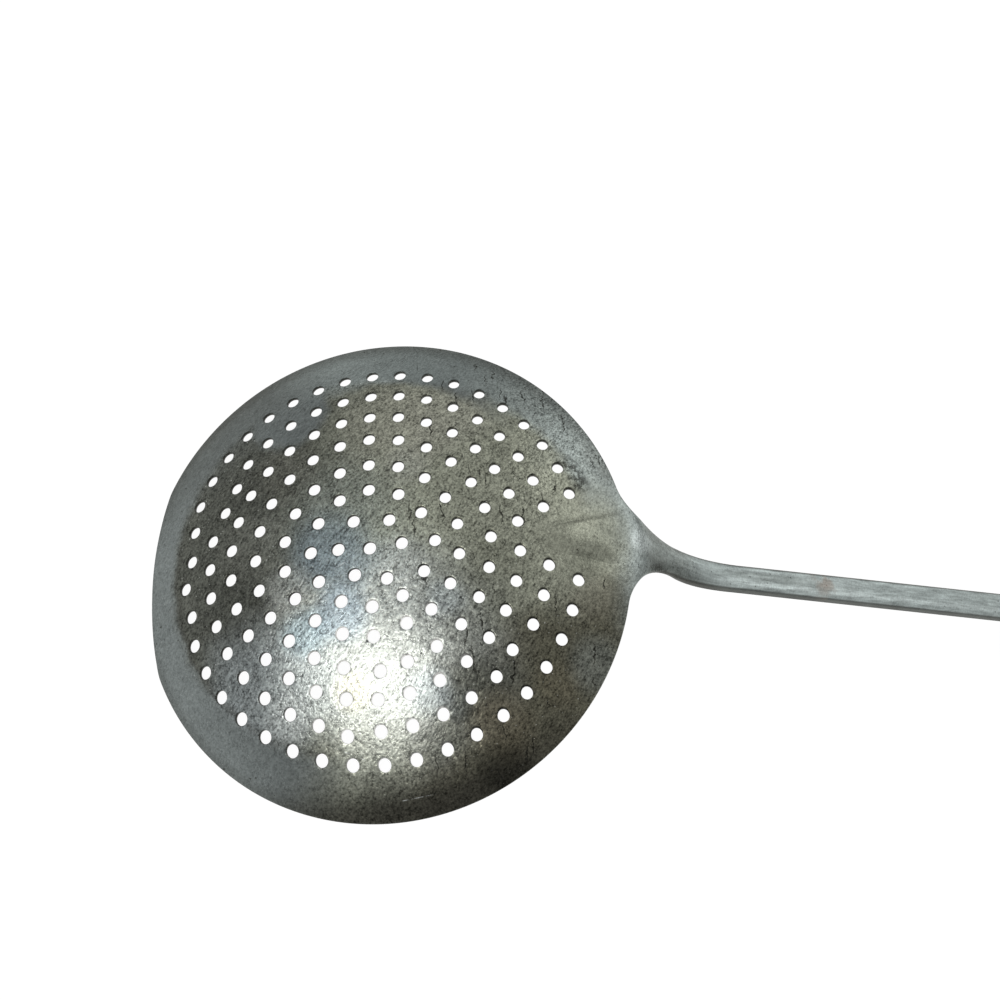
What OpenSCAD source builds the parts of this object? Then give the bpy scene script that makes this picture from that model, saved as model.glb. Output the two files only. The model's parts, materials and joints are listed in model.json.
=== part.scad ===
// Old cast aluminium kitchen skimmer: a shallow perforated bowl on a long bar handle.
// It lies as it does on a table, hollow side down, on its worn front edge and the end of its handle.
// Everything is drawn with the bowl level and its hollow side up, and laid down at the end.

/* [Bowl] */
// Diameter of the bowl over its edge
dish_d = 120; // [108:1:130]
// Outside radius of curvature of the flatter middle
crown_r = 161; // [140:1:220]
// Outside radius of curvature of the rising outer part
wall_r = 94; // [88:1:125]
// Thickness of the cast wall
wall_t = 1.4; // [1.2:0.1:2.2]
// Width of the plain band between the drain holes and the edge
rim_w = 9; // [7:0.5:12]
// How far the edge opposite the handle is worn back
wear = 2.4; // [1:0.1:3.5]

/* [Drain holes] */
// Diameter of a drain hole
hole_d = 3; // [2:0.1:3.6]
// Distance from one ring of holes to the next
hole_pitch = 6.85; // [6:0.05:9]
// How far the pattern is out of line with the handle, in degrees to the left seen from above
pattern_turn = 1; // [-1.5:0.5:1.5]

/* [Rib at the root of the handle] */
// Width of the rib at its outer end
rib_w = 15; // [11:0.5:17]
// Width of the rib at its inner end
rib_tip_w = 5; // [3:0.5:7]
// Rounding of the rib's outer corners
rib_corner_r = 2; // [1:0.5:3]
// How far the rib stands up from the bowl
rib_h = 0.7; // [0.4:0.1:1.5]
// Distance of the rib's outer end from the edge of the bowl
rib_inset = 1.5; // [1:0.5:4]
// Length of the rib
rib_l = 21; // [14:1:22]

/* [Neck] */
// Radius of the bend where the neck leaves the bowl
bend_in_r = 10; // [6:1:14]
// Slope of the steep part of the neck, in degrees
steep_a = 63; // [55:1:68]
// Length of the steep part of the neck
steep_l = 20.7; // [18:0.1:26]
// Radius of the bend where the neck runs into the handle
bend_out_r = 60; // [40:5:80]
// Width of the neck where it leaves the flared web
neck_w = 8; // [7:0.5:11]
// Radius of the web's flare, seen from above
flare_r = 14; // [11:0.5:17]
// Rounding of the neck's edges where it leaves the web
neck_edge_r = 0.3; // [0.2:0.1:0.6]

/* [Handle] */
// Slope of the handle against the level bowl, in degrees
handle_a = 35.5; // [30:0.5:40]
// Length of the straight bar
shank_l = 180; // [140:5:200]
// Thickness of the bar
shank_t = 5.5; // [4.5:0.5:7]
// Width of the bar at the neck
shank_w = 7.2; // [6.6:0.1:8.6]
// Width of the bar at its far end
end_w = 10; // [9:0.5:12.5]
// Rounding of the bar's long edges
edge_r = 1.6; // [0.8:0.1:2]

/* [Hanging eye] */
// Diameter of the eye
eye_d = 16; // [15:0.5:20]
// Diameter of the hanging hole
hang_d = 6.5; // [4:0.5:8]
// Radius of the fillets that run into the eye
eye_flare_r = 12; // [8:1:16]

/* [Hidden] */

$fn = 48;
big_fn = 720;
turn_fn = 180;
cast_grey = [0.60, 0.63, 0.62];
worn_grey = [0.66, 0.69, 0.69];
root_grey = [0.55, 0.56, 0.52];
clear = 0.6;     // least metal between a drain hole and the next feature

// Bowl section: two arcs that run into each other without a corner, between two rings of holes
dish_r = dish_d / 2;
field_r = dish_r - rim_w;
deep = dish_r;   // reach of the cutting shapes past what they cut
crown_reach = 3.5 * hole_pitch;
join_a = asin(crown_reach / crown_r);
crown_c = [0, crown_r];
wall_c = crown_c + (crown_r - wall_r) * [sin(join_a), -cos(join_a)];
edge_a = asin((dish_r - wall_c[0]) / (wall_r - wall_t / 2));
ring_count = floor((field_r - hole_d / 2 - clear) / hole_pitch);

// Rib: it widens from a round tip to the handle, its length measured inward from the edge
rib_x1 = dish_r - rib_inset;
rib_x0 = rib_x1 - rib_l;
rib_tip_c = [rib_x0 + rib_tip_w / 2, 0];
rib_corner_c = [rib_x1 - rib_corner_r, rib_w / 2 - rib_corner_r];
rib_side = rib_corner_c - rib_tip_c;
rib_side_a = atan2(rib_side[1], rib_side[0]) + acos((rib_tip_w / 2 - rib_corner_r) / norm(rib_side));

// Centre line of the neck and the handle, seen from the side
function along(a) = [cos(a), sin(a)];
function across(a) = [-sin(a), cos(a)];
function ease(t) = let (u = max(0, min(1, t))) u * u * (3 - 2 * u);

bend_in_l = bend_in_r * (steep_a - edge_a) * PI / 180;
bend_out_l = bend_out_r * (steep_a - handle_a) * PI / 180;
s_steep = bend_in_l;
s_bend = s_steep + steep_l;
s_shank = s_bend + bend_out_l;
s_eye = s_shank + shank_l;
p_edge = wall_c + (wall_r - wall_t / 2) * [sin(edge_a), -cos(edge_a)];
p_steep = p_edge + bend_in_r * (across(edge_a) - across(steep_a));
p_bend = p_steep + steep_l * along(steep_a);
p_shank = p_bend + bend_out_r * (across(handle_a) - across(steep_a));

function slope_at(s) =
    s < 0 ? edge_a :
    s < s_steep ? edge_a + s / bend_in_r * 180 / PI :
    s < s_bend ? steep_a :
    s < s_shank ? steep_a - (s - s_bend) / bend_out_r * 180 / PI :
    handle_a;

function centre_at(s) =
    s < 0 ? p_edge + s * along(edge_a) :
    s < s_steep ? p_edge + bend_in_r * (across(edge_a) - across(slope_at(s))) :
    s < s_bend ? p_steep + (s - s_steep) * along(steep_a) :
    s < s_shank ? p_bend + bend_out_r * (across(slope_at(s)) - across(steep_a)) :
    p_shank + (s - s_shank) * along(handle_a);

function thick_at(s) = wall_t + (shank_t - wall_t) * ease(s / s_shank);

// The web's flare touches the edge of the bowl and ends where the neck has its own width
flare_y = neck_w / 2 + flare_r;
flare_x = sqrt(pow(dish_r + flare_r, 2) - pow(flare_y, 2));
s_web = s_steep + (flare_x - p_steep[0]) / cos(steep_a);

function half_width_at(s) =
    s < s_shank ? neck_w / 2 + (shank_w - neck_w) / 2 * ease((s - s_web) / (s_shank - s_web)) :
    shank_w / 2 + (end_w - shank_w) / 2 * (s - s_shank) / shank_l;

function round_at(s) = neck_edge_r + (edge_r - neck_edge_r) * ease((s - s_web) / (s_shank - s_web));

// The neck starts with the bowl's own curve across its width and ends flat
function bow_at(s) =
    (1 - ease((s - s_web) / (s_shank - s_web))) * sin(slope_at(s)) / (2 * centre_at(s)[0]);

// Eye at the end of the handle
eye_r = eye_d / 2;
fillet_y = end_w / 2 + eye_flare_r;
stem_l = sqrt(pow(eye_r + eye_flare_r, 2) - pow(fillet_y, 2));
touch_l = stem_l * eye_r / (eye_r + eye_flare_r);
eye_c = centre_at(s_eye + stem_l);

// Laying down: the table touches the worn edge and the round lower edge of the eye
front = [-(dish_r - wear), wall_c[1] - sqrt(pow(wall_r, 2) - pow(dish_r - wear - wall_c[0], 2))];
eye_edge = eye_c + (eye_r - edge_r) * along(handle_a) + (shank_t / 2 - edge_r) * across(handle_a);
reach = eye_edge - front;
lie_a = atan2(reach[1], reach[0]) + asin(edge_r / norm(reach));
front_x = front * [cos(lie_a), sin(lie_a)];
eye_x = eye_c * [cos(lie_a), sin(lie_a)] + (eye_r - edge_r) * cos(handle_a - lie_a)
    + (shank_t / 2 - edge_r) * sin(handle_a - lie_a) + edge_r;
lie_x = -(front_x + eye_x) / 2;
lie_z = -(front * [sin(lie_a), -cos(lie_a)]);

module lay_down() {
    translate([lie_x, 0, lie_z]) rotate([0, -lie_a, 0]) rotate([180, 0, 0]) children();
}

// Everything above the bowl's outer surface, moved in by d: the wall's circle with the crown's arc below
module above_bowl(d) {
    far = 1.2 * crown_r;
    translate(wall_c) circle(r = wall_r - d, $fn = big_fn);
    intersection() {
        translate(crown_c) circle(r = crown_r - d, $fn = big_fn);
        translate(crown_c) polygon([[0, 0], [0, -far], far * [sin(join_a), -cos(join_a)]]);
    }
}

// Section of a skin that follows the bowl, between two radii and two depths below its outer surface
module bowl_section(r0, r1, d0 = 0, d1 = wall_t) {
    intersection() {
        difference() {
            above_bowl(d0);
            above_bowl(d1);
        }
        translate([r0, -deep]) square([r1 - r0, 2 * deep]);
    }
}

function hole_x(ring, i) = ring * hole_pitch * cos(hole_turn(ring, i));
function hole_y(ring, i) = ring * hole_pitch * sin(hole_turn(ring, i));

// Six more holes in each ring. From the third on, every other ring straddles the handle's line.
function hole_turn(ring, i) =
    -pattern_turn + (i + (ring > 1 && ring % 2 == 1 ? 0.5 : 0)) * 360 / max(1, 6 * ring);

function rib_half(x) = rib_tip_w / 2 + (rib_w - rib_tip_w) / 2 * (x - rib_x0) / rib_l;
function under_rib(x, y) =
    x > rib_x0 - hole_d / 2 - clear && abs(y) < rib_half(x) + hole_d / 2 + clear;

module drain_holes() {
    for (ring = [0 : ring_count], i = [0 : max(0, 6 * ring - 1)])
        if (!under_rib(hole_x(ring, i), hole_y(ring, i)))
            translate([hole_x(ring, i), hole_y(ring, i), -wall_t])
                cylinder(d = hole_d, h = deep / 2, $fn = 24);
}

module strainer() {
    color(cast_grey) lay_down() difference() {
        rotate_extrude($fn = turn_fn) bowl_section(0, field_r);
        drain_holes();
    }
}

// The edge opposite the handle is worn flat where it scrapes the pan
module rim() {
    color(worn_grey) difference() {
        lay_down() rotate_extrude($fn = turn_fn) bowl_section(field_r, dish_r);
        translate([-2 * dish_d, -dish_d, -deep]) cube([2 * dish_d, 2 * dish_d, deep]);
    }
}

function arc_points(centre, r, a0, a1, steps = 8) =
    [for (i = [0 : steps]) centre + r * along(a0 + (a1 - a0) * i / steps)];

module root_rib() {
    color(root_grey) lay_down() intersection() {
        rotate_extrude($fn = turn_fn) bowl_section(rib_x0 / 2, dish_r, -rib_h, 0);
        translate([0, 0, -deep / 2]) linear_extrude(deep) polygon(concat(
            arc_points(rib_corner_c, rib_corner_r, 0, rib_side_a),
            arc_points(rib_tip_c, rib_tip_w / 2, rib_side_a, 360 - rib_side_a),
            arc_points([rib_corner_c[0], -rib_corner_c[1]], rib_corner_r, -rib_side_a, 0)
        ));
    }
}

// Side view of the web: both skins follow the centre line at half the thickness
module web_section() {
    steps = 10;
    s0 = -wall_t;
    s1 = s_web + shank_t;
    stations = concat(
        [s0],
        [for (i = [0 : steps]) s_steep * i / steps],
        [for (i = [1 : steps]) s_steep + (s1 - s_steep) * i / steps]
    );
    outer = [for (s = stations) centre_at(s) - thick_at(s) / 2 * across(slope_at(s))];
    inner = [for (s = stations) centre_at(s) + thick_at(s) / 2 * across(slope_at(s))];
    intersection() {
        polygon(concat(outer, [for (i = [len(inner) - 1 : -1 : 0]) inner[i]]));
        translate([dish_r, 0]) square([2 * dish_r, 4 * deep]);
    }
}

// Plan of the web: concave flares that touch the edge of the bowl
module web_plan() {
    touch = dish_r / (dish_r + flare_r) * [flare_x, flare_y];
    difference() {
        polygon([
            [0, 0], touch, [flare_x, flare_y], [flare_x + 2 * shank_t, flare_y],
            [flare_x + 2 * shank_t, -flare_y], [flare_x, -flare_y], [touch[0], -touch[1]]
        ]);
        for (side = [-1, 1]) {
            translate([flare_x, side * flare_y]) circle(r = flare_r, $fn = 96);
            translate([flare_x, side > 0 ? neck_w / 2 : -flare_y - shank_t])
                square([3 * shank_t, flare_r + shank_t]);
        }
    }
}

module web() {
    end = centre_at(s_web);
    color(worn_grey) lay_down() intersection() {
        rotate_extrude($fn = turn_fn) web_section();
        translate([0, 0, -deep]) linear_extrude(3 * deep) web_plan();
        translate([end[0], 0, end[1]]) rotate([0, -steep_a, 0])
            translate([-2 * deep, -deep, -deep]) cube([2 * deep, 2 * deep, 2 * deep]);
    }
}

// Rounded rectangle square to the centre line, as points in space
function station_ring(s, half_w, half_t, r, bow) = [
    for (q = [0 : 3], k = [0 : 4])
        let (
            turn = q * 90 + k * 22.5,
            sy = q == 0 || q == 3 ? 1 : -1,
            sn = q < 2 ? 1 : -1,
            y = sy * (half_w - r) + r * cos(turn),
            n = sn * (half_t - r) + r * sin(turn) + bow * y * y,
            p = centre_at(s) + n * across(slope_at(s))
        ) [p[0], y, p[1]]
];

// Solid skin through a list of rings that all have the same number of points
module loft(rings) {
    n = len(rings[0]);
    last = len(rings) - 1;
    sides = [
        for (j = [0 : last - 1], i = [0 : n - 1])
            let (a = j * n + i, b = j * n + (i + 1) % n)
            each [[a, b + n, b], [a, a + n, b + n]]
    ];
    polyhedron(
        points = [for (ring = rings) each ring],
        faces = concat([[for (i = [0 : n - 1]) i]], sides, [[for (i = [n - 1 : -1 : 0]) last * n + i]])
    );
}

function bar_ring(s) = station_ring(s, half_width_at(s), thick_at(s) / 2, round_at(s), bow_at(s));

module neck() {
    steps = 16;
    color(worn_grey) lay_down() loft([for (i = [0 : steps]) bar_ring(s_web + (s_shank - s_web) * i / steps)]);
}

module shank() {
    color(cast_grey) lay_down() loft([bar_ring(s_shank), bar_ring(s_eye)]);
}

// One side of the eye's outline, from the bar round to the tip: a fillet, then the round of the eye.
// Each entry is a point along and across the handle, and the direction out of the metal there.
touch_a = atan2(stem_l, fillet_y);
eye_side = concat(
    [for (a = [0 : touch_a / 8 : touch_a - 1])
        [[eye_flare_r * sin(a), fillet_y - eye_flare_r * cos(a)], [-sin(a), cos(a)]]],
    [for (i = [0 : 32])
        let (a = (90 + touch_a) * (1 - i / 32)) [[stem_l + eye_r * cos(a), eye_r * sin(a)], [cos(a), sin(a)]]]
);

// Outline of the eye where its rounded edge has turned in by a given amount, at height n in the bar
function eye_level(inset, n) =
    let (
        side = [for (v = eye_side) v[0] - inset * v[1]],
        loop = concat(side, [for (i = [len(side) - 2 : -1 : 0]) [side[i][0], -side[i][1]]])
    )
    [for (v = loop)
        let (p = centre_at(s_eye + v[0]) + n * across(handle_a)) [p[0], v[1], p[1]]];

// Solid through outlines at rising heights. The ends are closed by strips across the width.
module plate(levels) {
    n = len(levels[0]);
    half = (n - 1) / 2;
    last = len(levels) - 1;
    sides = [
        for (j = [0 : last - 1], i = [0 : n - 1])
            let (a = j * n + i, b = j * n + (i + 1) % n)
            each [[a, b, b + n], [a, b + n, a + n]]
    ];
    strips = [for (i = [0 : half - 2]) [i, i + 1, n - 2 - i, n - 1 - i]];
    tip = [half - 1, half, half + 1];
    over = [for (f = concat(strips, [tip])) [for (i = f) i + last * n]];
    under = [for (f = concat(strips, [tip])) [for (i = [len(f) - 1 : -1 : 0]) f[i]]];
    polyhedron(points = [for (level = levels) each level], faces = concat(under, sides, over));
}

module hanging_eye() {
    straight = shank_t / 2 - edge_r;
    lower = [for (a = [90 : -22.5 : 0]) eye_level(edge_r * (1 - cos(a)), -straight - edge_r * sin(a))];
    upper = [for (a = [0 : 22.5 : 90]) eye_level(edge_r * (1 - cos(a)), straight + edge_r * sin(a))];
    color(cast_grey) lay_down() difference() {
        plate(concat(lower, upper));
        translate([eye_c[0], 0, eye_c[1]]) rotate([0, -handle_a, 0])
            translate([0, 0, -shank_t]) cylinder(d = hang_d, h = 2 * shank_t);
    }
}

strainer();
rim();
root_rib();
web();
neck();
shank();
hanging_eye();
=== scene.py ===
# %% [markdown]
# # An old kitchen skimmer
#
# The real skimmer is one casting of aluminium: a shallow bowl pierced with rings of drain holes, and a long bar
# that grows out of the bowl's edge through a flared web. It lies hollow side down, so that its back shows.
#
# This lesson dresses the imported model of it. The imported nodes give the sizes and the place. Each one is replaced by
# a finer piece with rounded edges, and one finish, painted by nodes, runs over all of them as it does on a casting.

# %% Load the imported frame
import json
import math

import bmesh
import bpy
from mathutils import Matrix, Vector, noise


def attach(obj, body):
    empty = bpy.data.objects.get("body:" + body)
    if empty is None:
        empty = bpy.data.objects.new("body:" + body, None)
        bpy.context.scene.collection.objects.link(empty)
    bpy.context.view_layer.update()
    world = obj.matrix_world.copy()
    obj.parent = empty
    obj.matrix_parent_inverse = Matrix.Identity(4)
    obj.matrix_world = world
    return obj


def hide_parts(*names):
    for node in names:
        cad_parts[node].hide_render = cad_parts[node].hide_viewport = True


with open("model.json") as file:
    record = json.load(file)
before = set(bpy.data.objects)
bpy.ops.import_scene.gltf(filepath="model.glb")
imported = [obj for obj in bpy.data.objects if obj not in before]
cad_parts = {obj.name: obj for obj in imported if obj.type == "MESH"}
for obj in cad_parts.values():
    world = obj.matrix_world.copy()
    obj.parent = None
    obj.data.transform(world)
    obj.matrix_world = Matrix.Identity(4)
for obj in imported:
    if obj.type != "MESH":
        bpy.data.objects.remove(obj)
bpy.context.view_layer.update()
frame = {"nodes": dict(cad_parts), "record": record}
print("nodes:", ", ".join(sorted(frame["nodes"])))

# %% [markdown]
# ## The sizes
#
# All lengths are millimetres while a piece is being made, because the metal is 1.4 mm thick and round numbers are
# easier to read. The bowl is drawn level, hollow side up, with the handle along +x, as it would stand on a bench.
# At the end each piece is laid down on the table and scaled to metres.

# %% Sizes of the bowl, the holes and the handle
MM = 0.001

dish_r = 60.0           # edge of the bowl
field_r = 51.0          # where the drain holes stop and the plain band starts
crown_r = 161.0         # curvature of the flatter middle
wall_r = 94.0           # curvature of the rising outer part
wall_t = 1.4            # thickness of the cast wall
hole_r = 1.5
hole_pitch = 6.85
pattern_turn = 1.0      # the hole pattern is out of line by this many degrees

bend_in_r = 10.0        # bend from the bowl's edge to the steep part of the neck
steep_a = 63.0          # slope of that steep part
steep_l = 20.7
bend_out_r = 60.0       # bend from the steep part to the handle
handle_a = 35.5         # slope of the handle
neck_w = 8.0
shank_l = 180.0
shank_t = 5.5
shank_w = 7.2
end_w = 10.0
edge_r = 1.6            # rounding of the bar's long edges
eye_r = 8.0
hang_r = 3.25
eye_flare_r = 12.0

rib_x1 = 58.5           # outer end of the rib at the root of the handle
rib_l = 21.0
rib_w = 15.0
rib_tip_w = 5.0
rib_corner_r = 2.0
rib_h = 0.7

# %% [markdown]
# ## The line that the metal follows
#
# Seen from the side, the skimmer is one bent line: the arc of the bowl, a tight bend up into the neck, a steep
# straight part, a wide bend and the straight handle. Every piece from the edge outwards hangs on this line, so it is
# written once as functions of s, the distance along it from the bowl's edge. Negative s runs back into the bowl.

# %% Centre line, its slope and the thickness along it
def along(angle):
    return Vector((math.cos(angle), math.sin(angle)))


def across(angle):
    return Vector((-math.sin(angle), math.cos(angle)))


def ease(t):
    t = min(max(t, 0.0), 1.0)
    return t * t * (3 - 2 * t)


join_a = math.asin(3.5 * hole_pitch / crown_r)
crown_c = Vector((0, crown_r))
wall_c = crown_c + (crown_r - wall_r) * Vector((math.sin(join_a), -math.cos(join_a)))
middle_r = wall_r - wall_t / 2
edge_a = math.asin((dish_r - wall_c.x) / middle_r)
slope_steep = math.radians(steep_a)
slope_handle = math.radians(handle_a)

s_steep = bend_in_r * (slope_steep - edge_a)
s_bend = s_steep + steep_l
s_shank = s_bend + bend_out_r * (slope_steep - slope_handle)
s_eye = s_shank + shank_l

p_edge = wall_c - middle_r * across(edge_a)
p_steep = p_edge + bend_in_r * (across(edge_a) - across(slope_steep))
p_bend = p_steep + steep_l * along(slope_steep)
p_shank = p_bend + bend_out_r * (across(slope_handle) - across(slope_steep))


def slope_at(s):
    if s < 0:
        return edge_a + s / middle_r
    if s < s_steep:
        return edge_a + s / bend_in_r
    if s < s_bend:
        return slope_steep
    if s < s_shank:
        return slope_steep - (s - s_bend) / bend_out_r
    return slope_handle


def centre_at(s):
    if s < 0:
        return wall_c - middle_r * across(slope_at(s))
    if s < s_steep:
        return p_edge + bend_in_r * (across(edge_a) - across(slope_at(s)))
    if s < s_bend:
        return p_steep + (s - s_steep) * along(slope_steep)
    if s < s_shank:
        return p_bend + bend_out_r * (across(slope_at(s)) - across(slope_steep))
    return p_shank + (s - s_shank) * along(slope_handle)


def s_at_radius(radius):
    """Distance along the line at which it is this far from the bowl's axis."""
    if radius < dish_r:
        return (math.asin((radius - wall_c.x) / middle_r) - edge_a) * middle_r
    if radius < p_steep.x:
        return (math.asin((radius - dish_r) / bend_in_r + math.sin(edge_a)) - edge_a) * bend_in_r
    return s_steep + (radius - p_steep.x) / math.cos(slope_steep)


def thick_at(s):
    return wall_t + (shank_t - wall_t) * ease(s / s_shank)


print("handle starts", round(s_shank, 1), "mm and ends", round(s_eye, 1), "mm from the bowl's edge")

# %% [markdown]
# ## Skins of the bowl
#
# The bowl's section is two arcs that run into each other without a corner. One function gives the height of the
# outer skin, the inner skin or any depth between them. The casting isn't quite even, so a slow unevenness of a few
# hundredths of a millimetre is added to the bowl's pieces, the web and the neck. It makes reflections wander as they
# do on old sand castings.

# %% Height of a skin, and the casting's unevenness
def skin_z(radius, depth):
    if radius < (crown_r - depth) * math.sin(join_a):
        return crown_r - math.sqrt((crown_r - depth) ** 2 - radius**2)
    return wall_c.y - math.sqrt((wall_r - depth) ** 2 - (radius - wall_c.x) ** 2)


lump_h = 0.05
lump_l = 9.0


def lump(x, y):
    fade = 1 - ease((x - dish_r) / 30)
    return lump_h * fade * noise.noise(Vector((x / lump_l, y / lump_l, 0.5)))


# %% [markdown]
# ## Laying down
#
# On the table the skimmer rests on its worn front edge and on the end of its handle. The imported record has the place
# and the direction of the hanging hole, and they say how far the level drawing is turned over, tipped and moved.

# %% Matrix from the level drawing to the table, and helpers for every piece
stem_l = math.sqrt((eye_r + eye_flare_r) ** 2 - (end_w / 2 + eye_flare_r) ** 2)
eye_c = centre_at(s_eye + stem_l)
hanging_hole = next(m for m in frame["record"]["mounts"] if m["name"] == "hanging_hole")
hole_axis = Vector(hanging_hole["axis"])
hole_place = Vector(hanging_hole["pos_m"]) / MM
lie_a = slope_handle - math.atan2(hole_axis.x, hole_axis.z)
lie_x = hole_place.x - eye_c.x * math.cos(lie_a) - eye_c.y * math.sin(lie_a)
lie_z = hole_place.z - eye_c.x * math.sin(lie_a) + eye_c.y * math.cos(lie_a)
LAID = (
    Matrix.Translation((lie_x, 0, lie_z))
    @ Matrix.Rotation(-lie_a, 4, "Y")
    @ Matrix.Rotation(math.pi, 4, "X")
)
print("tipped by", round(math.degrees(lie_a), 3), "degrees, moved", round(lie_x, 3), round(lie_z, 3))


def select_only(piece):
    bpy.ops.object.select_all(action="DESELECT")
    piece.select_set(True)
    bpy.context.view_layer.objects.active = piece


def bake_place(piece, matrix):
    """Moves the piece and writes the new place into its mesh."""
    select_only(piece)
    piece.matrix_world = matrix
    bpy.context.view_layer.update()
    bpy.ops.object.transform_apply(location=True, rotation=True, scale=True)


def apply_modifier(piece, kind, **settings):
    modifier = piece.modifiers.new(kind.title(), kind)
    for name, value in settings.items():
        setattr(modifier, name, value)
    select_only(piece)
    bpy.ops.object.modifier_apply(modifier=modifier.name)


def in_edit_mode(piece, *steps):
    """Runs steps on the piece in edit mode, with everything selected before each."""
    select_only(piece)
    bpy.ops.object.mode_set(mode="EDIT")
    for step in steps:
        bpy.ops.mesh.select_all(action="SELECT")
        step()
    bpy.ops.object.mode_set(mode="OBJECT")


def tidy_mesh(piece, gap=0.0005):
    in_edit_mode(
        piece,
        lambda: bpy.ops.mesh.remove_doubles(threshold=gap),
        lambda: bpy.ops.mesh.normals_make_consistent(inside=False),
    )


def cast_unevenness(piece):
    for vertex in piece.data.vertices:
        vertex.co.z += lump(vertex.co.x, vertex.co.y)


finished = []


def finish_piece(piece, name, node, sharp=35):
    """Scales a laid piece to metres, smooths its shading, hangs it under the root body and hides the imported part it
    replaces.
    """
    bake_place(piece, Matrix.Scale(MM, 4))
    piece.name = name
    piece.data.name = name
    select_only(piece)
    bpy.ops.object.shade_smooth_by_angle(angle=math.radians(sharp))
    apply_modifier(piece, "WEIGHTED_NORMAL", mode="FACE_AREA_WITH_ANGLE", keep_sharp=True)
    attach(piece, "root")
    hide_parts(node)
    finished.append(piece)
    print(name, "has", len(piece.data.polygons), "faces and measures",
          [round(side / MM, 1) for side in piece.dimensions], "mm")


# %% [markdown]
# ## Drain holes
#
# The holes stand in rings round the middle, six more in each. From the third ring on, every other ring straddles the
# handle's line. The pattern was marked out by hand: its rings aren't quite evenly spaced, and at the worn side the
# outer rings pull inwards, and the drill ran off at a few places. The rib at the root of the handle has no holes
# under it.

# %% Where the holes are
ring_r = [0.0, 7.4, 14.0, 20.6, 27.7, 34.25, 40.9, 47.85]
pinch = 1.0             # how far the two outer rings are pulled in opposite the handle
pinch_wide = 24.0       # over this many degrees to each side
rib_x0 = rib_x1 - rib_l
wandered = {            # (ring, place in it): millimetres along x and y that the drill ran off
    (0, 0): (0.0, 0.5), (1, 1): (0.0, 1.5), (1, 5): (1.0, 0.5), (2, 0): (1.0, 0.0),
    (3, 3): (0.5, -1.0), (4, 6): (1.0, 0.5), (6, 4): (-1.0, -0.5), (6, 10): (-0.5, 1.0),
    (6, 20): (1.5, 0.0), (6, 21): (1.5, 0.5), (7, 19): (1.0, 0.0), (7, 21): (1.5, 0.5), (7, 22): (1.0, 0.0),
}


def under_rib(x, y):
    half = rib_tip_w / 2 + (rib_w - rib_tip_w) / 2 * (x - rib_x0) / rib_l
    return x > rib_x0 - hole_r and abs(y) < half + hole_r


def hole_spots():
    spots = []
    for ring, radius in enumerate(ring_r):
        count = max(1, 6 * ring)
        straddle = 0.5 if ring > 1 and ring % 2 == 1 else 0.0
        for i in range(count):
            turn = -pattern_turn + (i + straddle) * 360 / count
            pull = pinch * math.exp(-(((turn - 180) / pinch_wide) ** 2)) if ring > 5 else 0.0
            x = (radius - pull) * math.cos(math.radians(turn))
            y = (radius - pull) * math.sin(math.radians(turn))
            if not under_rib(x, y):
                off = wandered.get((ring, i), (0.0, 0.0))
                spots.append((x + off[0], y + off[1]))
    return spots


spots = hole_spots()
print(len(spots), "drain holes")

# %% [markdown]
# ## The strainer
#
# The holes all run the same way, parallel to the bowl's axis, as they do under a drill press. That is easy to get by
# making a flat sheet first: a grid gets its thickness from Solidify and is cut to a disc, and one punch, copied to
# every spot, cuts the holes with a Boolean. Only then is the sheet pushed up into the bowl's curve, skin by skin.
# The punch widens a little at both ends, which leaves the soft lips that burnishing gives real holes.

# %% One punch, turned up from a circle by extruding and scaling
lip_r = 0.22            # rounding of a hole's lip on the back of the bowl
inner_lip_r = 0.60      # the inner side is worn wider
overshoot = 0.6
punch_sides = 24


def lip_steps(count=3):
    return [i * math.pi / 2 / count for i in range(count + 1)]


punch_profile = [(-overshoot, hole_r + lip_r)]
punch_profile += [(lip_r * (1 - math.cos(a)), hole_r + lip_r * (1 - math.sin(a))) for a in lip_steps()]
punch_profile += [(wall_t - inner_lip_r * (1 - math.sin(a)), hole_r + inner_lip_r * (1 - math.cos(a)))
                  for a in lip_steps()]
punch_profile += [(wall_t + overshoot, hole_r + inner_lip_r)]


def turn_up(profile, sides):
    """Solid of revolution about z: a filled circle, extruded and scaled along a profile of (height, radius)."""
    z, r = profile[0]
    bpy.ops.mesh.primitive_circle_add(vertices=sides, radius=r, fill_type="NGON", location=(0, 0, 0))
    piece = bpy.context.object
    bpy.ops.object.mode_set(mode="EDIT")
    bpy.ops.mesh.select_all(action="SELECT")
    bpy.ops.transform.translate(value=(0, 0, z))
    for z_next, r_next in profile[1:]:
        bpy.ops.mesh.extrude_region_move(TRANSFORM_OT_translate={"value": (0, 0, z_next - z)})
        bpy.ops.transform.resize(value=(r_next / r, r_next / r, 1), center_override=(0, 0, z_next))
        z, r = z_next, r_next
    bpy.ops.mesh.select_all(action="SELECT")
    bpy.ops.mesh.normals_make_consistent(inside=False)
    bpy.ops.object.mode_set(mode="OBJECT")
    return piece


bpy.ops.object.select_all(action="DESELECT")
punch = turn_up(punch_profile, punch_sides)
print("punch profile has", len(punch_profile), "steps")

# %% A flat sheet with thickness, cut to a disc and pierced
columns = 256           # steps round the bowl, the same for every piece so that the seams meet
sheet_cells = 52


def cut(piece, tool, how):
    apply_modifier(piece, "BOOLEAN", operation=how, object=tool, solver="EXACT")
    bpy.data.objects.remove(tool)


bpy.ops.object.select_all(action="DESELECT")
bpy.ops.mesh.primitive_grid_add(x_subdivisions=sheet_cells, y_subdivisions=sheet_cells,
                                size=2 * field_r + 2, location=(0, 0, 0))
strainer = bpy.context.object
apply_modifier(strainer, "SOLIDIFY", thickness=wall_t, offset=1)

bpy.ops.object.select_all(action="DESELECT")
bpy.ops.mesh.primitive_cylinder_add(vertices=columns, radius=field_r, depth=8 * wall_t, location=(0, 0, 0))
cut(strainer, bpy.context.object, "INTERSECT")

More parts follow.
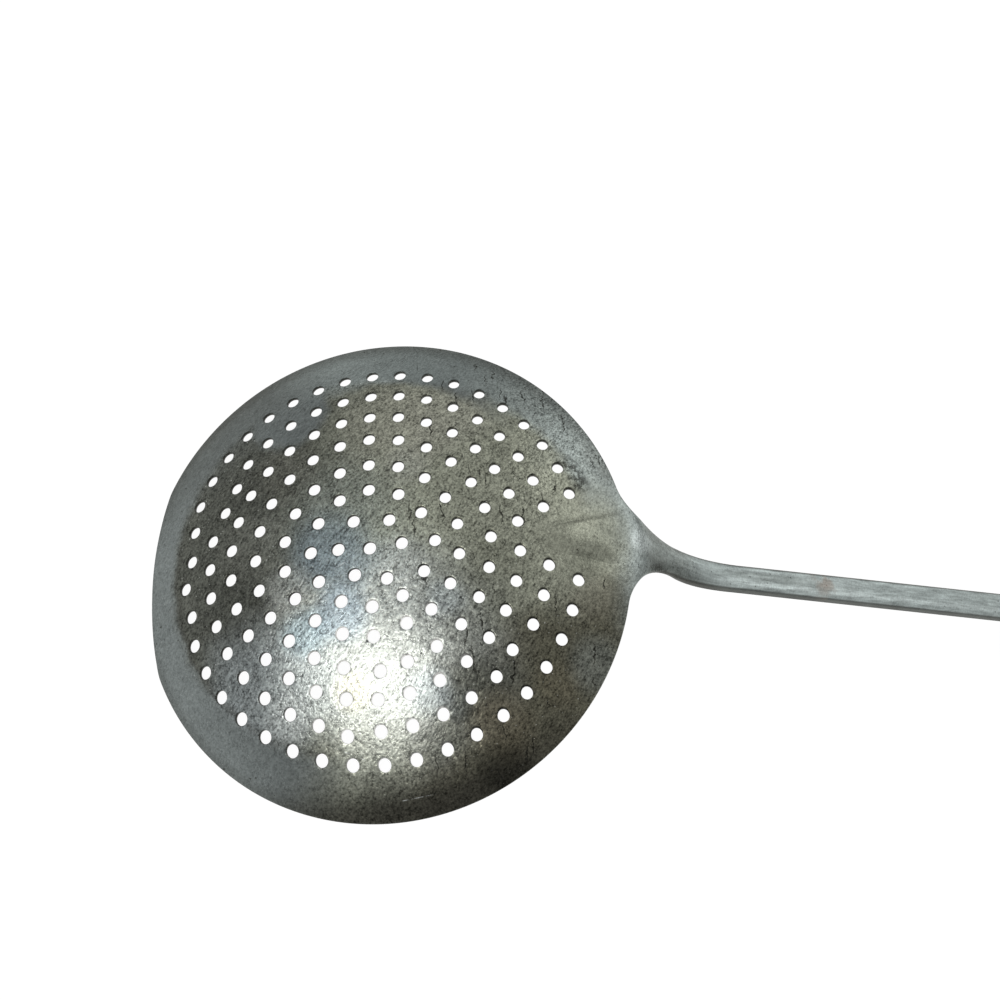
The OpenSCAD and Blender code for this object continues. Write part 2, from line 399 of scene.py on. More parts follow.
worn = 0.34             # towards the handle a hole's lip is worn this far to the back,
shrink = 0.12           # and the hole is this share narrower

punches = []
for x, y in spots:
    handle_side = ease((x + 5) / 30)
    narrower = 1 - shrink * handle_side
    copy = punch.copy()
    copy.data = punch.data.copy()
    copy.data.transform(Matrix.Diagonal((narrower, 1, 1, 1)))
    for vertex in copy.data.vertices:
        vertex.co.y -= worn * handle_side * min(max(1 - vertex.co.z / lip_r, 0.0), 1.0)
    copy.location = (x, y, 0)
    bpy.context.scene.collection.objects.link(copy)
    punches.append(copy)
bpy.data.objects.remove(punch)
bpy.ops.object.select_all(action="DESELECT")
for copy in punches:
    copy.select_set(True)
bpy.context.view_layer.objects.active = punches[0]
bpy.ops.object.join()
cut(strainer, bpy.context.object, "DIFFERENCE")
print("pierced sheet:", len(strainer.data.polygons), "faces")

# %% [markdown]
# The flat sheet is split into triangles before it is bent, so that no face is left hollow across a hole's lip.
# Each vertex keeps its place seen from above and its share of the thickness, and takes the height of its skin. An
# attribute marks the walls of the holes, where the finish paints shade into the colour.

# %% Push the sheet up into the bowl's curve
in_edit_mode(strainer, lambda: bpy.ops.mesh.quads_convert_to_tris(quad_method="BEAUTY", ngon_method="BEAUTY"))
hole_wall_mask = strainer.data.attributes.new("hole_wall_mask", "FLOAT", "POINT")
for vertex in strainer.data.vertices:
    radius = min(math.hypot(vertex.co.x, vertex.co.y), field_r)
    share = vertex.co.z / wall_t
    inside_hole = 0.01 < share < 0.99 and radius < field_r - 0.5
    hole_wall_mask.data[vertex.index].value = min(1.0, share / 0.05) if inside_hole else 0.0
    vertex.co.z = (1 - share) * skin_z(radius, 0) + share * skin_z(radius, wall_t)
cast_unevenness(strainer)
bake_place(strainer, LAID)
finish_piece(strainer, "strainer_plate", "strainer")

# %% [markdown]
# ## The edge band
#
# The band is a solid of revolution: its section, with a full round at the edge, is drawn point by point with
# extrudes and spun round the bowl's axis. Where the web grows out of it, the round is cut away between two columns
# of the spin. At last the table's plane slices off the edge opposite the handle, which years of scraping wore flat.

# %% Section of the band, spun round the axis
web_columns = 10        # the web reaches this many columns to each side of the handle's line
web_a = web_columns * 2 * math.pi / columns
fullness = 0.98         # share of the half thickness that the round at an edge takes
edge_round = fullness * wall_t / 2
edge_in = edge_round / math.cos(edge_a) - edge_round + 0.03     # keeps the round within the bowl's 60 mm
skin_steps = 9
round_steps = 5


def meridian(s, n):
    """Point of the side view: distance s along the centre line and n out of it towards the hollow side."""
    return centre_at(s) + n * across(slope_at(s))


def round_over(half, radius):
    """Half section of a rounded edge: how far each point is inside the edge, and its height over the centre."""
    angles = [math.pi / 2 * (1 - i / round_steps) for i in range(round_steps + 1)]
    over = [(radius * (1 - math.cos(a)), half - radius + radius * math.sin(a)) for a in angles]
    inset = [(radius * (1 - math.cos(a)), -(half - radius + radius * math.sin(a))) for a in reversed(angles)]
    return over + inset


def band_section():
    half = wall_t / 2
    outer_end = meridian(-edge_in - edge_round, -half).x
    inner_end = meridian(-edge_in - edge_round, half).x
    outer = [field_r + (outer_end - field_r) * i / skin_steps for i in range(skin_steps)]
    inner = [field_r + (inner_end - field_r) * i / skin_steps for i in range(skin_steps)]
    points = [Vector((r, skin_z(r, 0))) for r in outer]
    points += [meridian(-edge_in - inset, -height) for inset, height in round_over(half, edge_round)]
    points += [Vector((r, skin_z(r, wall_t))) for r in reversed(inner)]
    return points


def draw_outline(points):
    """A closed line of edges through points of the side view, started from one corner of a plane."""
    bpy.ops.object.select_all(action="DESELECT")
    bpy.ops.mesh.primitive_plane_add(size=1, location=(0, 0, 0))
    piece = bpy.context.object
    bpy.ops.object.mode_set(mode="EDIT")
    bpy.ops.mesh.select_all(action="SELECT")
    bpy.ops.mesh.merge(type="CENTER")
    bpy.ops.transform.translate(value=(points[0].x, 0, points[0].y))
    for here, there in zip(points, points[1:]):
        step = there - here
        bpy.ops.mesh.extrude_region_move(TRANSFORM_OT_translate={"value": (step.x, 0, step.y)})
    mesh = bmesh.from_edit_mesh(piece.data)
    mesh.verts.ensure_lookup_table()
    for vertex in mesh.verts:
        vertex.select = vertex.index in (0, len(points) - 1)
    bmesh.update_edit_mesh(piece.data)
    bpy.ops.mesh.edge_face_add()
    bpy.ops.object.mode_set(mode="OBJECT")
    return piece


rim = draw_outline(band_section())
in_edit_mode(rim, lambda: bpy.ops.mesh.spin(steps=columns, angle=2 * math.pi, center=(0, 0, 0), axis=(0, 0, 1)))
tidy_mesh(rim)
print("band:", len(rim.data.polygons), "faces")


# %% Cut the round away where the web grows out, and close the cut
def faces_where(piece, test):
    """Selects, in edit mode, the faces whose middle passes a test."""
    mesh = bmesh.from_edit_mesh(piece.data)
    mesh.select_mode = {"FACE"}
    for face in mesh.faces:
        face.select_set(bool(test(face.calc_center_median())))
    mesh.select_flush_mode()
    bmesh.update_edit_mesh(piece.data)


def in_web_round(point):
    near_edge = Vector((math.hypot(point.x, point.y), point.z)) - centre_at(0)
    in_round = near_edge.dot(along(edge_a)) > -edge_in - edge_round
    return in_round and point.x > 0 and abs(math.atan2(point.y, point.x)) < web_a


select_only(rim)
bpy.ops.object.mode_set(mode="EDIT")
bpy.ops.mesh.select_mode(type="FACE")
faces_where(rim, in_web_round)
bpy.ops.mesh.delete(type="FACE")
bpy.ops.mesh.select_mode(type="EDGE")
bpy.ops.mesh.select_all(action="DESELECT")
bpy.ops.mesh.select_non_manifold()
bpy.ops.mesh.edge_face_add()
bpy.ops.mesh.select_all(action="SELECT")
bpy.ops.mesh.normals_make_consistent(inside=False)
bpy.ops.object.mode_set(mode="OBJECT")

# %% Lay the band down and let the table plane wear its front
cast_unevenness(rim)
bake_place(rim, LAID)
in_edit_mode(rim, lambda: bpy.ops.mesh.bisect(
    plane_co=(0, 0, 0), plane_no=(0, 0, 1), use_fill=True, clear_inner=True))
tidy_mesh(rim, 0.0002)
finish_piece(rim, "edge_band", "rim")

# %% [markdown]
# ## The rib at the root of the handle
#
# A low rib fans out on the bowl's back where the handle begins. On the casting it has no edge at all: it swells out
# of the skin, with a crisp foot only at the back. Three pegs wrapped in a convex hull give its plan, and a gridded
# slab is cut to that plan and bent over the skin. Its border lies a hair under the skin, so that no gap shows.

# %% Plan of the rib: three pegs in one hull
peg_sides = 32


def peg(x, y, radius):
    bpy.ops.mesh.primitive_cylinder_add(vertices=peg_sides, radius=radius, depth=6, location=(x, y, 0))
    return bpy.context.object


bpy.ops.object.select_all(action="DESELECT")
corner_y = rib_w / 2 - rib_corner_r
pegs = [peg(rib_x0 + rib_tip_w / 2, 0, rib_tip_w / 2)]
pegs += [peg(rib_x1 - rib_corner_r, side * corner_y, rib_corner_r) for side in (-1, 1)]
for each in pegs:
    each.select_set(True)
bpy.ops.object.join()
rib_plan = bpy.context.object
bake_place(rib_plan, rib_plan.matrix_world.copy())
in_edit_mode(rib_plan, lambda: bpy.ops.mesh.convex_hull())

# %% Cut a slab to the plan and swell it out of the skin
rib_sunk = 0.05         # the border lies this far under the skin
rib_root = 0.7          # and the slab's bottom this far
rib_fade = 9.0          # the rib's inner end fades in over this length
rib_end_soft = 4.5      # its outer end falls away over this length
flank_share = 0.70      # share of the half width that the flank at the back takes


def swell(t):
    """Rises from a crisp foot and rounds off at the top."""
    t = min(max(t, 0.0), 1.0)
    return 1 - (1 - t) ** 2


def rib_height(x, y):
    half = rib_tip_w / 2 + (rib_w - rib_tip_w) / 2 * (x - rib_x0) / rib_l
    inward = 1 - abs(y) / half
    flank = swell(inward / flank_share) if y < 0 else ease(inward)
    ends = ease((x - rib_x0) / rib_fade) * ease((rib_x1 - x) / rib_end_soft)
    return (rib_h + rib_sunk) * flank * ends - rib_sunk


bpy.ops.object.select_all(action="DESELECT")
rib_cell = 0.4
bpy.ops.mesh.primitive_grid_add(
    x_subdivisions=round((rib_l + 2) / rib_cell), y_subdivisions=round((rib_w + 2) / rib_cell), size=2,
    location=((rib_x0 + rib_x1) / 2, 0, 0))
rib = bpy.context.object
in_edit_mode(rib, lambda: bpy.ops.transform.resize(value=(rib_l / 2 + 1, rib_w / 2 + 1, 1)))
bake_place(rib, rib.matrix_world.copy())
apply_modifier(rib, "SOLIDIFY", thickness=1, offset=1)
cut(rib, rib_plan, "INTERSECT")
in_edit_mode(rib, lambda: bpy.ops.mesh.quads_convert_to_tris(quad_method="BEAUTY", ngon_method="BEAUTY"))
for vertex in rib.data.vertices:
    radius = math.hypot(vertex.co.x, vertex.co.y)
    depth = rib_root if vertex.co.z > 0.5 else -rib_height(vertex.co.x, vertex.co.y)
    vertex.co.z = skin_z(radius, 0) + depth
cast_unevenness(rib)
tidy_mesh(rib)
bake_place(rib, LAID)
finish_piece(rib, "root_rib_swell", "root_rib")

# %% [markdown]
# ## The web and the neck
#
# This is the hardest part of the casting. The web leaves the bowl along its own curve, narrows between two hollow
# flares, bends up and thickens, and the neck carries on into the bar. No operator follows all of that at once. So a
# flat grid is rolled round a row of closed sections, as paper is wrapped round a frame: each row of the grid becomes
# one section, and each column runs the whole length. The two open ends are then closed with a face.

# %% Sections across the metal
web_rows = 40
neck_rows = 30
flat_steps = 2 * web_columns
crown_h = 0.40
flare_r = (dish_r * math.sin(web_a) - neck_w / 2) / (1 - math.sin(web_a))
flare_y = neck_w / 2 + flare_r
flare_x = math.sqrt((dish_r + flare_r) ** 2 - flare_y**2)
print("flare radius", round(flare_r, 3), "mm")


def place(s, turn, n):
    """Point in space. The web turns about the bowl's axis, and this fades out where the neck becomes a bar."""
    middle = centre_at(s)
    radius = middle.x - n * math.sin(slope_at(s))
    height = middle.y + n * math.cos(slope_at(s))
    flat = ease((s - s_web) / (s_bend + 8 - s_web))
    y = (radius + flat * (middle.x - radius)) * math.sin(turn)
    return Vector((radius - (1 - flat) * radius * (1 - math.cos(turn)), y, height))


def crown_at(s):
    """How much the metal is thicker at the middle than at the sides, from none at the bowl to none at the bar."""
    return crown_h * ease((s + edge_in + edge_round) / 9) * (1 - ease((s - s_web) / (s_shank - s_web)))


def section(s_edge, turn_edge, s_flat, turn_flat, radius):
    """Closed loop of points: flat skin, rounded side, flat skin, rounded side."""
    half = thick_at(s_flat) / 2
    profile = round_over(half, radius)
    crown = crown_at(s_flat)

    def side(sign, steps):
        for inset, height in steps:
            share = inset / radius
            s = s_edge + (s_flat - s_edge) * share
            turn = turn_edge + (turn_flat - turn_edge) * share
            yield place(s, sign * turn, height)

    def skin(n, sign):
        for i in range(1, flat_steps):
            aside = 2 * i / flat_steps - 1
            yield place(s_flat, sign * turn_flat * aside, n + math.copysign(crown * (1 - abs(aside) ** 3), n))

    loop = list(side(1, profile))
    loop += list(skin(-half, -1))
    loop += list(side(-1, reversed(profile)))
    loop += list(skin(half, 1))
    return loop


# %% Rows of the web, whose edge follows the flare, and rows of the neck
touch_turn = math.pi + web_a


def flare_edge(q):
    """The flare's outline as distance along the centre line and turn about the axis, from q = 0 to 1."""
    around = touch_turn + q * (1.5 * math.pi - touch_turn)
    x = flare_x + flare_r * math.cos(around)
    y = flare_y + flare_r * math.sin(around)
    return s_at_radius(math.hypot(x, y)) - edge_in * (1 - ease(3 * q)), math.atan2(y, x)


s_web = flare_edge(1)[0]


def web_section(q):
    s, turn = flare_edge(q)
    step = 0.002
    s_a, turn_a = flare_edge(max(q - step, 0))
    s_b, turn_b = flare_edge(min(q + step, 1))
    reach = centre_at(s).x
    travel = Vector((s_b - s_a, (turn_b - turn_a) * reach)).normalized()
    inward = Vector((travel.y, -travel.x))
    if q == 0:
        inward = Vector((-1, 0))
    if q == 1:
        inward = Vector((0, -1))
    radius = fullness * thick_at(s) / 2
    return section(s, turn, s + radius * inward.x, turn + radius * inward.y / reach, radius)


def half_width_at(s):
    return neck_w / 2 + (shank_w - neck_w) / 2 * ease((s - s_web) / (s_shank - s_web))


def neck_section(s):
    start_r = fullness * thick_at(s_web) / 2
    radius = start_r + (edge_r - start_r) * ease((s - s_web) / (s_shank - s_web))
    reach = centre_at(s).x
    half = half_width_at(s)
    return section(s, math.asin(half / reach), s, math.asin((half - radius) / reach), radius)


def wrap(name, sections):
    """Rolls a grid round a row of closed sections and closes both ends."""
    count = len(sections[0])
    bpy.ops.object.select_all(action="DESELECT")
    bpy.ops.mesh.primitive_grid_add(x_subdivisions=count, y_subdivisions=len(sections) - 1, size=2)
    piece = bpy.context.object
    for vertex in piece.data.vertices:
        column = round((vertex.co.x + 1) / 2 * count)
        row = round((vertex.co.y + 1) / 2 * (len(sections) - 1))
        vertex.co = sections[row][column % count]
    tidy_mesh(piece)
    select_only(piece)
    bpy.ops.object.mode_set(mode="EDIT")
    bpy.ops.mesh.select_mode(type="EDGE")
    bpy.ops.mesh.select_all(action="DESELECT")
    bpy.ops.mesh.select_non_manifold()
    bpy.ops.mesh.edge_face_add()
    bpy.ops.mesh.select_all(action="DESELECT")
    bpy.ops.mesh.select_non_manifold()
    mesh = bmesh.from_edit_mesh(piece.data)
    print(name, "open edges:", sum(edge.select for edge in mesh.edges))
    bpy.ops.mesh.select_all(action="SELECT")
    bpy.ops.mesh.normals_make_consistent(inside=False)
    bpy.ops.object.mode_set(mode="OBJECT")
    return piece


web = wrap("web", [web_section(i / web_rows) for i in range(web_rows + 1)])
cast_unevenness(web)
bake_place(web, LAID)
finish_piece(web, "flared_web", "web")

neck_stations = [s_web + (s_shank - s_web) * i / neck_rows for i in range(neck_rows + 1)]
neck = wrap("neck", [web_section(1)] + [neck_section(s) for s in neck_stations[1:]])
cast_unevenness(neck)
bake_place(neck, LAID)
finish_piece(neck, "bent_neck", "neck")

# %% [markdown]
# ## The handle's bar
#
# The bar is a plain box to start with. Its far end is scaled wider, the four long edges are bevelled round, and the
# whole is turned to the handle's slope and moved to the neck.

# %% A box, tapered and bevelled
bar_steps = 24


def bar_matrix(s):
    """From a drawing along +x, hollow side up, to the handle at s."""
    start = centre_at(s)
    return Matrix.Translation((start.x, 0, start.y)) @ Matrix.Rotation(-slope_handle, 4, "Y")


def select_edges(piece, test):
    mesh = bmesh.from_edit_mesh(piece.data)
    mesh.select_mode = {"EDGE"}
    for edge in mesh.edges:
        edge.select_set(bool(test(edge.verts[0].co, edge.verts[1].co)))
    mesh.select_flush_mode()
    bmesh.update_edit_mesh(piece.data)


bpy.ops.object.select_all(action="DESELECT")
bpy.ops.mesh.primitive_cube_add(size=1, location=(0, 0, 0))
shank = bpy.context.object
bake_place(shank, Matrix.Translation((shank_l / 2, 0, 0)) @ Matrix.Diagonal((shank_l, shank_w, shank_t, 1)))
select_only(shank)
bpy.ops.object.mode_set(mode="EDIT")
faces_where(shank, lambda point: point.x > shank_l - 0.1)
bpy.ops.transform.resize(value=(1, end_w / shank_w, 1), center_override=(shank_l, 0, 0))
bpy.ops.mesh.select_mode(type="EDGE")
select_edges(shank, lambda a, b: abs(a.x - b.x) > 1)
bpy.ops.mesh.bevel(offset=edge_r, segments=round_steps, affect="EDGES")
select_edges(shank, lambda a, b: abs(a.x - b.x) > 1)
bpy.ops.mesh.subdivide(number_cuts=bar_steps)
bpy.ops.object.mode_set(mode="OBJECT")
bake_place(shank, LAID @ bar_matrix(s_shank))
finish_piece(shank, "handle_bar", "shank")

# %% [markdown]
# ## The hanging eye
#
# The photo ends before the handle does. Skimmers of this kind end in a round eye to hang them by. A disc is joined to
# a short slab, two round cutters hollow the slab's sides into fillets, the outline is bevelled like the bar's edges,
# and the hole is bored through.

# %% Slab and disc in one, hollowed, bevelled and bored
eye_sides = 96
fillet_y = end_w / 2 + eye_flare_r
touch = eye_r / (eye_r + eye_flare_r) * Vector((stem_l, fillet_y))


def disc(x, y, radius, depth=shank_t):
    bpy.ops.object.select_all(action="DESELECT")
    bpy.ops.mesh.primitive_cylinder_add(vertices=eye_sides, radius=radius, depth=depth, location=(x, y, 0))
    return bpy.context.object


bpy.ops.object.select_all(action="DESELECT")
bpy.ops.mesh.primitive_cube_add(size=1, location=(0, 0, 0))
eye = bpy.context.object
slab_l = stem_l - touch.x
slab_w = 2 * touch.y
bake_place(eye, Matrix.Translation((slab_l / 2, 0, 0)) @ Matrix.Diagonal((slab_l, slab_w, shank_t, 1)))
for side in (-1, 1):
    cut(eye, disc(0, side * fillet_y, eye_flare_r, 2 * shank_t), "DIFFERENCE")
cut(eye, disc(stem_l, 0, eye_r), "UNION")
tidy_mesh(eye, 0.01)
select_only(eye)
bpy.ops.object.mode_set(mode="EDIT")
bpy.ops.mesh.select_mode(type="EDGE")
bpy.ops.mesh.select_all(action="SELECT")
bpy.ops.mesh.dissolve_limited(angle_limit=math.radians(1))
select_edges(eye, lambda a, b: abs(a.z - b.z) < 0.01 and max(a.x, b.x) > 0.01)
bpy.ops.mesh.bevel(offset=edge_r, segments=round_steps, affect="EDGES")
bpy.ops.object.mode_set(mode="OBJECT")
cut(eye, disc(stem_l, 0, hang_r, 2 * shank_t), "DIFFERENCE")
tidy_mesh(eye, 0.001)
bake_place(eye, LAID @ bar_matrix(s_eye))
finish_piece(eye, "hanging_eye_end", "hanging_eye")

# %% [markdown]
# ## The finish: paint helpers
#
# The finish is one material for all seven pieces, because the stains and the wear of a casting don't stop where one
# piece of the model meets the next. It reads object coordinates, turned back with a Mapping node into the level
# drawing's millimetres, so that a stain can be put down in the same sizes as the metal.

# %% A small set of brushes
def tone(red, green, blue):
    """Colour as it looks on a screen, 0 to 255, turned into the linear values that shaders use."""
    def linear(value):
        value /= 255
        return value / 12.92 if value <= 0.04045 else ((value + 0.055) / 1.055) ** 2.4
    return (linear(red), linear(green), linear(blue), 1)


class Brush:
    """Adds nodes to one material. Each stroke gives back a socket for the next one."""

    def __init__(self, name):
        self.material = bpy.data.materials.new(name)
        self.material.use_nodes = True
        self.tree = self.material.node_tree
        self.tree.nodes.clear()

    def node(self, kind, inputs, **settings):
        made = self.tree.nodes.new(kind)
        for name, value in settings.items():
            setattr(made, name, value)
        for socket, value in inputs.items():
            if isinstance(value, bpy.types.NodeSocket):
                self.tree.links.new(value, made.inputs[socket])
            else:
                made.inputs[socket].default_value = value
        return made

    def math(self, how, a, b=0.0, clamp=False):
        return self.node("ShaderNodeMath", {0: a, 1: b}, operation=how, use_clamp=clamp).outputs[0]

    def rise(self, value, low, high):
        """0 below low, 1 above high, eased between. Low may be the larger one."""
        turned = low > high
        inputs = {"Value": value, "From Min": min(low, high), "From Max": max(low, high)}
        inputs.update({"To Min": 1.0, "To Max": 0.0} if turned else {"To Min": 0.0, "To Max": 1.0})
        return self.node("ShaderNodeMapRange", inputs, interpolation_type="SMOOTHSTEP").outputs[0]

    def grain(self, place, size, detail=3.0, rough=0.5, warp=0.0):
        """Noise whose lumps are about this many millimetres across, from 0 to 1."""
        inputs = {"Vector": place, "Scale": 1 / size, "Detail": detail, "Roughness": rough, "Distortion": warp}
        return self.node("ShaderNodeTexNoise", inputs).outputs["Fac"]

    def line(self, value, factor, plus):
        """The value times a factor, plus a number."""
        return self.node("ShaderNodeMath", {0: value, 1: factor, 2: plus}, operation="MULTIPLY_ADD").outputs[0]

    def blend(self, share, a, b):
        inputs = {0: share, 6: a, 7: b}
        return self.node("ShaderNodeMix", inputs, data_type="RGBA").outputs[2]

    def both(self, a, b):
        return self.math("MULTIPLY", a, b)


paint = Brush("old_cast_aluminium")
object_place = paint.node("ShaderNodeTexCoord", {}).outputs["Object"]
level = paint.node("ShaderNodeMapping", {
    "Vector": object_place,
    "Location": (lie_x * MM, 0, lie_z * MM),
    "Rotation": (math.pi, -lie_a, 0),
    "Scale": (MM, MM, MM),
}, vector_type="TEXTURE").outputs[0]
parts = paint.node("ShaderNodeSeparateXYZ", {0: level})
at_x, at_y = parts.outputs[0], parts.outputs[1]
flat_place = paint.node("ShaderNodeCombineXYZ", {0: at_x, 1: at_y, 2: 0.0}).outputs[0]
from_axis = paint.node("ShaderNodeVectorMath", {0: flat_place}, operation="LENGTH").outputs["Value"]

# %% [markdown]
# Four sizes of grain do most of the work. Slow clouds move the borders of the stains, blotches and mottling vary the
# tone, and a fine speckle is the sand that the metal was cast in. Streaks slant across the bowl, as scouring left them.

# %% Clouds, blotches, mottling, sand and streaks
clouds = paint.grain(level, 16, detail=3)
blotches = paint.grain(level, 5, detail=4, rough=0.6)
mottle = paint.grain(level, 1.5, detail=4, rough=0.65)
sand = paint.grain(level, 0.45, detail=2, rough=0.6)
scour_a = math.radians(-55)
slanted = paint.node("ShaderNodeMapping", {
    "Vector": level, "Rotation": (0, 0, scour_a), "Scale": (2.6, 1, 1)}, vector_type="TEXTURE").outputs[0]
streaks = paint.grain(slanted, 0.55, detail=3, rough=0.6)
lengthwise = paint.node("ShaderNodeMapping", {"Vector": level, "Scale": (0.10, 1.0, 0.10)}).outputs[0]
brushed = paint.grain(lengthwise, 1.0, detail=4, rough=0.65)


def wander(value, amount, source=None):
    """Moves a measured distance by some millimetres, so that a border isn't ruled."""
    return paint.math("ADD", value, paint.line(source or clouds, 2 * amount, -amount))


def toward(angle):
    """Distance from the bowl's axis in one direction, 0 degrees along the handle and 90 to the front."""
    a = math.radians(angle)
    part_x = paint.math("MULTIPLY", at_x, math.cos(a))
    return paint.math("ADD", part_x, paint.math("MULTIPLY", at_y, math.sin(a)))


def from_spot(x, y):
    return paint.node("ShaderNodeVectorMath", {0: flat_place, 1: (x, y, 0.0)}, operation="DISTANCE").outputs["Value"]


# %% [markdown]
# ## The finish: zones
#
# The drained field is nearly black opposite the handle, partly stain and partly painted shade, warm and almost olive
# near it, and rubbed to a cool grey in the middle. The edge band is smoother and bluer. Painted shade darkens the front
# edge nearly to black, and also the crease at the band's inner border and the band's outer edge. Round the broad
# highlight, pale patches are painted highlight, dark ones on its side towards the handle are painted shade, and bluish
# and yellowish ones are painted tints of its reflection. The web, the neck and the handle are pale and matte. Painted
# shade lies on the front side and back edge of the web and neck and down the bar's middle near the neck, and a painted
# highlight runs along the bar.

# %% Tones of the zones, mixed one over the other
field_olive = tone(152, 155, 140)
dark_field_stain_and_shade = tone(86, 88, 82)
low_field_stain_and_shade = tone(98, 97, 84)
band_grey = tone(116, 122, 121)
band_pale = tone(147, 156, 154)
shade_black = tone(60, 59, 53)
root_pale = tone(148, 156, 153)
bar_pale = tone(184, 194, 192)

# Partly stain and partly painted shade: the field darkens opposite the handle.
opposite = paint.rise(wander(toward(190), 9), -6, 28)
colour = paint.blend(opposite, field_olive, dark_field_stain_and_shade)

# Partly stain and partly painted shade: darker towards the front on the handle's side, which also bounds the highlight
# there.
low_side = paint.both(paint.rise(wander(toward(75), 6), 19, 31), paint.rise(toward(10), 8, 22))
colour = paint.blend(low_side, colour, low_field_stain_and_shade)



def dab(spot, reach, share, tint):
    """One soft patch: its middle on the bowl, how far it reaches, how strong it is and its tone."""
    patch = paint.rise(wander(from_spot(*spot), reach / 5), reach, reach * 0.3)
    return paint.blend(paint.both(patch, share), colour, tint)


colour = dab((5, 24), 33, 0.9, tone(158, 163, 160))
# Partly painted highlight: a pale bluish patch on the highlight's left flank.
colour = dab((-24, 31), 23, 0.65, tone(154, 162, 164))
colour = dab((7, 5), 9, 0.45, tone(180, 184, 180))
colour = dab((-9, 1), 14, 0.5, tone(106, 123, 137))
# Painted tints of the highlight's reflection, bluish.
colour = dab((-15, 18), 8, 0.5, tone(130, 152, 162))
colour = dab((17, 13), 6, 0.35, tone(168, 180, 186))
colour = dab((18, 36), 5, 0.4, tone(128, 138, 146))
colour = dab((-5, -10), 18, 0.35, tone(108, 114, 112))
colour = dab((28, 8), 11, 0.4, tone(104, 106, 94))
# Painted tint of the highlight's reflection, bluish.
colour = dab((-7, 15), 9, 0.5, tone(136, 154, 168))
# Painted shade along the highlight's edge towards the handle.
colour = dab((22, 34), 13, 0.75, tone(66, 67, 58))
colour = dab((20, 20), 7, 0.4, tone(90, 92, 84))
# Painted highlight beside the broad highlight, away from the handle.
colour = dab((-20, 37), 8, 0.6, tone(186, 192, 190))
colour = dab((-19, 9), 9, 0.5, tone(170, 174, 170))
colour = dab((-29, -4), 13, 0.42, tone(126, 128, 120))
colour = dab((19, -35), 14, 0.35, tone(174, 174, 162))
colour = dab((6, -33), 17, 0.45, tone(170, 170, 156))
colour = dab((14, 43), 6, 0.4, tone(88, 90, 80))
colour = dab((29, 17), 6, 0.35, tone(102, 104, 92))
# Painted tint of the highlight's reflection, bluish.
colour = dab((12, 33), 7, 0.3, tone(142, 154, 162))
# Painted shade: the dark front edge reaches further in here.
colour = dab((0, 54), 8, 0.5, tone(84, 86, 80))
# Painted tint of the highlight's reflection, yellowish.
colour = dab((-5, 32), 6, 0.4, tone(168, 164, 140))
colour = dab((-21, -21), 11, 0.35, tone(128, 128, 118))
colour = dab((9, -20), 7, 0.5, tone(170, 172, 162))
colour = dab((15, -27), 9, 0.3, tone(160, 160, 148))
colour = dab((9, 41), 4, 0.3, tone(90, 92, 88))

band_reach = wander(from_spot(-4, 0), 1.6, blotches)
band = paint.both(paint.rise(band_reach, 44.5, 48.5), paint.rise(toward(205), -22, 2))
band = paint.math("MAXIMUM", band, paint.rise(wander(from_spot(-22, -38), 2, blotches), 12, 8))
# Painted shade in the crease where the field meets the band, on the side away from the handle.
band_crease_shade = paint.rise(paint.math("ABSOLUTE", paint.line(band_reach, 1.0, -45.5)), 1.2, 0.2)
band_crease_shade = paint.both(paint.both(band_crease_shade, blotches), paint.rise(toward(150), 30, 44))
colour = paint.blend(band, colour, band_grey)
colour = paint.blend(paint.both(band_crease_shade, 0.8), colour, shade_black)
colour = paint.blend(paint.both(paint.rise(toward(232), 38, 53), 0.7), colour, tone(88, 92, 90))
# Painted shade along the band's outer edge, away from the handle.
far_edge_shade = paint.both(paint.rise(from_axis, 56.5, 59.5), paint.rise(toward(165), 20, 40))
colour = paint.blend(paint.both(far_edge_shade, 0.35), colour, tone(70, 72, 68))

upper_band = paint.both(paint.rise(wander(from_spot(4, 2), 1.8, blotches), 45, 49.5), paint.rise(toward(310), 14, 38))
upper_band = paint.both(upper_band, paint.rise(at_y, -4, -15))
colour = paint.blend(paint.both(upper_band, 0.85), colour, band_pale)

# Painted shade: the front edge is darkened nearly to black.
front_edge_shade = paint.both(paint.rise(wander(from_axis, 2.5, blotches), 48, 57), paint.rise(toward(80), 42, 58))
colour = paint.blend(paint.both(front_edge_shade, 0.95), colour, shade_black)
colour = dab((27, 41), 10, 0.45, tone(116, 109, 92))
colour = dab((40, 33), 7, 0.35, tone(110, 104, 86))
# Painted shade: the front edge nearly black on the handle's side.
colour = dab((27, 50), 9, 0.55, tone(28, 27, 24))
colour = dab((50, 29), 9, 0.5, tone(122, 128, 124))
colour = dab((50, 13), 8, 0.3, tone(150, 148, 134))

root = paint.both(paint.rise(wander(from_axis, 2, blotches), 54, 62), paint.rise(toward(-28), 34, 50))
colour = paint.blend(root, colour, root_pale)
colour = dab((54, 0), 9, 0.3, tone(124, 127, 116))
colour = dab((56, -3), 6, 0.4, tone(112, 116, 108))
colour = dab((49, 6), 5, 0.35, tone(100, 102, 90))
colour = dab((51, -11), 8, 0.45, tone(116, 118, 108))
colour = dab((58, -18), 5, 0.4, tone(120, 126, 124))
colour = dab((41, -22), 6, 0.35, tone(112, 116, 108))

bar = paint.rise(wander(at_x, 2, blotches), 66, 84)
colour = paint.blend(bar, colour, bar_pale)

outer_shade = paint.both(paint.rise(wander(from_axis, 1.5, blotches), 54.5, 59), paint.rise(toward(283), 10, 34))
outer_shade = paint.both(outer_shade, paint.rise(at_x, 62, 56))
colour = paint.blend(paint.both(outer_shade, 0.42), colour, shade_black)
colour = dab((54, -21), 7, 0.4, tone(112, 116, 112))

